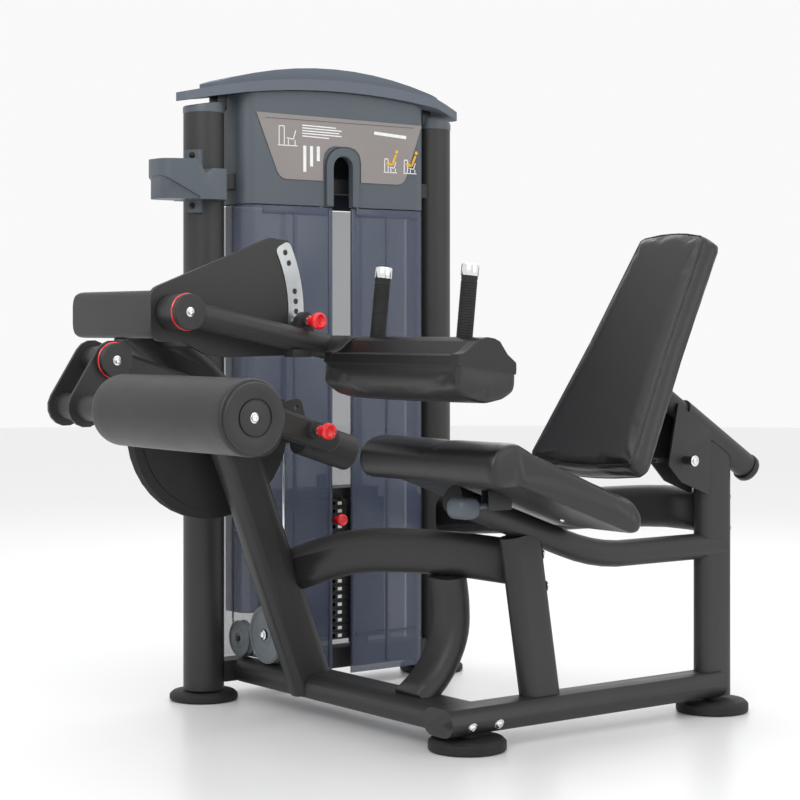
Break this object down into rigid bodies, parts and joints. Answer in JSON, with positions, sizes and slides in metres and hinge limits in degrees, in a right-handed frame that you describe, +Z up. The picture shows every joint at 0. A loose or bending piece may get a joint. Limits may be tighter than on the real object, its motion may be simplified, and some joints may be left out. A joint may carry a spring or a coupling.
{
  "type": "leg extension machine",
  "caption": "Seated leg machine: tower with weight stack and cable, tube frame, padded seat and back, swinging lever with roller, and a thigh hold-down arm.",
  "frame": {"origin": "centre of the machine's bounding box, on the floor", "axes": "+Z up, the seated user faces -Y, and the weight-stack tower is on the -X side"},
  "size_m": [1.176, 1.637, 1.536],
  "materials": {
    "painted_frame": "satin charcoal powder coat",
    "cover_plastic": "blue-grey moulded plastic",
    "shroud_panel": "translucent blue-grey polycarbonate",
    "placard_card": "taupe printed sheet",
    "foot_rubber": "black rubber",
    "upholstery": "black padded leatherette over foam",
    "bright_steel": "polished",
    "stack_iron": "black coated",
    "red_plastic": "red",
    "pulley_nylon": "grey nylon"
  },
  "bodies": {
    "base": {"foot_corner": "foot_rubber", "foot_rear": "foot_rubber", "foot_tower_front": "foot_rubber", "foot_tower_rear": "foot_rubber", "tower_column_front": "painted_frame", "tower_column_rear": "painted_frame", "tower_base_beam": "painted_frame", "tower_top_beam": "painted_frame", "guide_rod_front": "bright_steel", "guide_rod_rear": "bright_steel", "resting_plates": "stack_iron", "base_pulley_bracket": "painted_frame", "drive_cable": "bright_steel", "stack_cable": "bright_steel", "shroud_front": "shroud_panel", "shroud_rear": "shroud_panel", "shroud_back": "shroud_panel", "upper_housing": "cover_plastic", "slot_bezel": "cover_plastic", "top_cover": "cover_plastic", "placard": "placard_card", "cup_holder": "cover_plastic", "base_side_tube": "painted_frame", "base_cross_tube": "painted_frame", "front_post": "painted_frame", "rear_post": "painted_frame", "seat_rail": "painted_frame", "arch_tube": "painted_frame", "brace_tube": "painted_frame", "rear_cross_tube": "painted_frame", "upright": "painted_frame", "pivot_housing": "painted_frame", "sector_plate": "painted_frame", "range_strip": "bright_steel", "guide_tube": "painted_frame", "seat_pad": "upholstery"},
    "cam": {"cam_disc": "painted_frame", "lever_shaft": "bright_steel"},
    "lever": {"lever_arm": "painted_frame", "lever_counterweight": "painted_frame"},
    "start_plunger": {"start_pin": "red_plastic"},
    "link": {"roller_link": "painted_frame"},
    "roller": {"roller_pad": "upholstery"},
    "carriage": {"selected_plates": "stack_iron", "head_plate": "stack_iron", "pin_lanyard": "foot_rubber"},
    "pin": {"selector_pin": "red_plastic"},
    "pulley_base": {"base_pulley": "pulley_nylon"},
    "pulley_tower": {"tower_pulley": "pulley_nylon"},
    "pulley_top_front": {"top_pulley_front": "pulley_nylon"},
    "pulley_top_rear": {"top_pulley_rear": "pulley_nylon"},
    "thigh": {"thigh_arm": "painted_frame", "thigh_pad": "upholstery", "grip_far": "foot_rubber", "grip_near": "foot_rubber"},
    "thigh_plunger": {"thigh_pin": "red_plastic"},
    "back": {"back_pad": "upholstery", "back_slide": "bright_steel"},
    "back_lock": {"back_lock_lever": "painted_frame"},
    "seat_release": {"seat_lever": "cover_plastic"}
  },
  "joints": [
    {"name": "cam_turn", "type": "hinge", "parent": "base", "child": "cam", "pos_m": [-0.284, -0.30305, 0.666], "axis": [1, 0, 0], "range_deg": [0, 75]},
    {"name": "start_adjust", "type": "hinge", "parent": "cam", "child": "lever", "pos_m": [-0.094, -0.30305, 0.666], "axis": [1, 0, 0], "range_deg": [0, 20]},
    {"name": "start_pin_pull", "type": "slide", "parent": "lever", "child": "start_plunger", "axis": [1, 0, 0], "range_m": [0, 0.014], "stiffness_N_per_m": 600, "springref_m": -0.005},
    {"name": "link_swing", "type": "hinge", "parent": "lever", "child": "link", "pos_m": [-0.094, -0.68505, 0.825], "axis": [1, 0, 0], "range_deg": [-15, 30]},
    {"name": "roller_spin", "type": "hinge", "parent": "link", "child": "roller", "pos_m": [0.343, -0.74605, 0.729], "axis": [1, 0, 0], "continuous": true},
    {"name": "stack_lift", "type": "slide", "parent": "base", "child": "carriage", "axis": [0, 0, 1], "range_m": [0, 0.29], "deforming": ["stack_cable"]},
    {"name": "selector_pull", "type": "slide", "parent": "carriage", "child": "pin", "axis": [1, 0, 0], "range_m": [0, 0.07]},
    {"name": "base_pulley_turn", "type": "hinge", "parent": "base", "child": "pulley_base", "pos_m": [-0.347, -0.09805, 0.166], "axis": [0, 1, 0], "range_deg": [-260, 5]},
    {"name": "tower_pulley_turn", "type": "hinge", "parent": "base", "child": "pulley_tower", "pos_m": [-0.464, -0.09805, 0.143], "axis": [0, 1, 0], "range_deg": [-400, 5]},
    {"name": "top_pulley_front_turn", "type": "hinge", "parent": "base", "child": "pulley_top_front", "pos_m": [-0.504, -0.05005, 1.33], "axis": [1, 0, 0], "range_deg": [-5, 340]},
    {"name": "top_pulley_rear_turn", "type": "hinge", "parent": "base", "child": "pulley_top_rear", "pos_m": [-0.504, 0.11595, 1.33], "axis": [1, 0, 0], "range_deg": [-5, 340]},
    {"name": "thigh_swing", "type": "hinge", "parent": "base", "child": "thigh", "pos_m": [0.026, -0.55905, 0.926], "axis": [1, 0, 0], "range_deg": [0, 28]},
    {"name": "thigh_pin_pull", "type": "slide", "parent": "thigh", "child": "thigh_plunger", "axis": [1, 0, 0], "range_m": [0, 0.012], "stiffness_N_per_m": 600, "springref_m": -0.005},
    {"name": "back_adjust", "type": "slide", "parent": "base", "child": "back", "axis": [0, -0.8471, 0.5314], "range_m": [-0.1, 0.04]},
    {"name": "back_lock_turn", "type": "hinge", "parent": "base", "child": "back_lock", "pos_m": [0.343, 0.56395, 0.59], "axis": [1, 0, 0], "range_deg": [-15, 0], "stiffness_Nm_per_rad": 2, "springref_deg": 11.46},
    {"name": "seat_release_turn", "type": "hinge", "parent": "base", "child": "seat_release", "pos_m": [0.405, -0.04105, 0.522], "axis": [1, 0, 0], "range_deg": [-8, 0], "stiffness_Nm_per_rad": 5, "springref_deg": 17.19}
  ],
  "couplings": [
    {"joint": "stack_lift", "follows": "cam_turn", "m_per_rad": 0.205},
    {"joint": "base_pulley_turn", "follows": "cam_turn", "ratio": -3.254},
    {"joint": "tower_pulley_turn", "follows": "cam_turn", "ratio": -5.125},
    {"joint": "top_pulley_front_turn", "follows": "cam_turn", "ratio": 4.2708},
    {"joint": "top_pulley_rear_turn", "follows": "cam_turn", "ratio": 4.2708}
  ]
}
